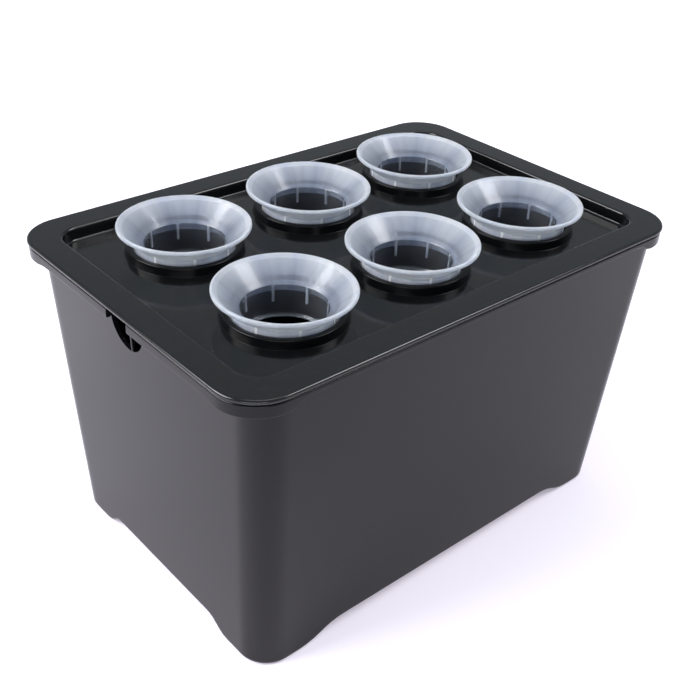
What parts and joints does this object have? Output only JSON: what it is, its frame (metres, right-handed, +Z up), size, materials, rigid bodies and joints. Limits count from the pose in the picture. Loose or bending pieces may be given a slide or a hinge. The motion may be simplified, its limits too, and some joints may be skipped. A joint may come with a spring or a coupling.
{
  "type": "hydroponic grow box",
  "caption": "Black tub on moulded feet with a lift-off recessed lid; flared clear cups seat in collars over holes in the lid and hold plants with their roots in the water below.",
  "frame": {"origin": "middle of the footprint, on the plane that the feet stand on", "axes": "+X along the long side, with the hose port in the short wall at -X; +Y to the back long side; +Z up"},
  "size_m": [0.2998, 0.207, 0.1865],
  "materials": {
    "tub_plastic": "satin black polypropylene",
    "lid_plastic": "glossy black polypropylene",
    "cup_plastic": "frosted clear polypropylene"
  },
  "bodies": {
    "tub": {"tub": "tub_plastic"},
    "lid": {"lid": "lid_plastic"},
    "cup_front_left": {"cup_front_left": "cup_plastic"},
    "cup_front_middle": {"cup_front_middle": "cup_plastic"},
    "cup_front_right": {"cup_front_right": "cup_plastic"},
    "cup_back_left": {"cup_back_left": "cup_plastic"},
    "cup_back_middle": {"cup_back_middle": "cup_plastic"},
    "cup_back_right": {"cup_back_right": "cup_plastic"}
  },
  "joints": [
    {"name": "lid_lift", "type": "slide", "parent": "tub", "child": "lid", "axis": [0, 0, 1], "range_m": [0, 0.08]},
    {"name": "cup_front_left_lift", "type": "slide", "parent": "lid", "child": "cup_front_left", "axis": [0, 0, 1], "range_m": [0, 0.06]},
    {"name": "cup_front_middle_lift", "type": "slide", "parent": "lid", "child": "cup_front_middle", "axis": [0, 0, 1], "range_m": [0, 0.06]},
    {"name": "cup_front_right_lift", "type": "slide", "parent": "lid", "child": "cup_front_right", "axis": [0, 0, 1], "range_m": [0, 0.06]},
    {"name": "cup_back_left_lift", "type": "slide", "parent": "lid", "child": "cup_back_left", "axis": [0, 0, 1], "range_m": [0, 0.06]},
    {"name": "cup_back_middle_lift", "type": "slide", "parent": "lid", "child": "cup_back_middle", "axis": [0, 0, 1], "range_m": [0, 0.06]},
    {"name": "cup_back_right_lift", "type": "slide", "parent": "lid", "child": "cup_back_right", "axis": [0, 0, 1], "range_m": [0, 0.06]}
  ]
}
